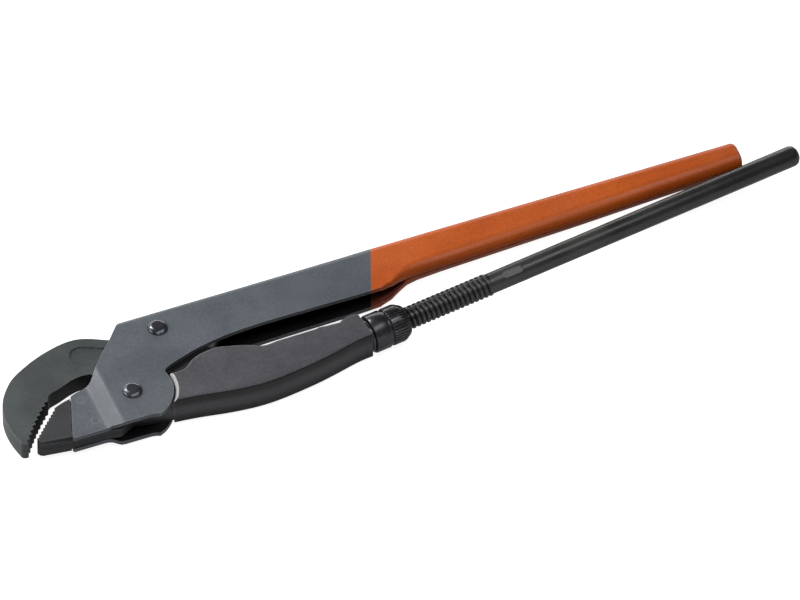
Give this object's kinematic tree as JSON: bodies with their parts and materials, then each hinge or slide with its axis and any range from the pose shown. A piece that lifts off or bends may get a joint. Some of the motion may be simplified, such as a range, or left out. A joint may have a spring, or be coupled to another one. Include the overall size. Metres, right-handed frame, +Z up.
{
  "type": "pipe wrench",
  "caption": "Pipe wrench with an angled toothed hook jaw, a pressed sheet main handle with the lower jaw, and a round rod handle drawn through a pivoting yoke by a knurled nut.",
  "frame": {"origin": "under the middle of the tool's bounding box, on the plane that its rivet heads lie on", "axes": "+X from the jaws to the handle ends, +Y from the rod handle towards the main handle, +Z up through the tool's thickness"},
  "size_m": [0.5682, 0.091, 0.027],
  "materials": {
    "grey_enamel": "satin grey paint over pressed steel",
    "orange_enamel": "satin orange paint",
    "forged_steel": "dark phosphated forging, slightly rough",
    "yoke_casting": "dark grey cast surface, satin",
    "black_steel": "blackened, glossy",
    "bright_steel": "plain turned steel inside the tool"
  },
  "bodies": {
    "frame": {"main_handle": "grey_enamel", "end_plug": "orange_enamel", "lower_jaw": "forged_steel", "jaw_rivets": "grey_enamel", "guide_rivet": "black_steel", "guide_sleeve": "bright_steel", "pivot_rivet": "black_steel", "pivot_sleeve": "bright_steel", "hook_spring": "bright_steel", "spring_rivet": "bright_steel"},
    "yoke": {"yoke": "yoke_casting", "thrust_washer": "black_steel"},
    "rod": {"threaded_rod": "black_steel", "tail_pin": "bright_steel"},
    "nut": {"adjusting_nut": "black_steel"},
    "hook": {"hook_jaw": "forged_steel"}
  },
  "joints": [
    {"name": "handle_pivot", "type": "hinge", "parent": "frame", "child": "yoke", "pos_m": [-0.19952, -0.01984, 0.0135], "axis": [0, 0, 1], "range_deg": [-15, 0]},
    {"name": "rod_slide", "type": "slide", "parent": "yoke", "child": "rod", "axis": [-0.99, -0.1407, 0], "range_m": [-0.002, 0.034]},
    {"name": "hook_pivot", "type": "hinge", "parent": "rod", "child": "hook", "pos_m": [-0.08952, -0.02953, 0.0135], "axis": [0, 0, 1], "range_deg": [-14.4, 1]},
    {"name": "nut_spin", "type": "hinge", "parent": "yoke", "child": "nut", "pos_m": [-0.02252, -0.02001, 0.0135], "axis": [0.99, 0.1407, 0], "range_deg": [-205, 3405]}
  ],
  "couplings": [
    {"joint": "hook_pivot", "follows": "rod_slide", "rad_per_m": -7.3304},
    {"joint": "nut_spin", "follows": "rod_slide", "rad_per_m": 1745.3}
  ]
}
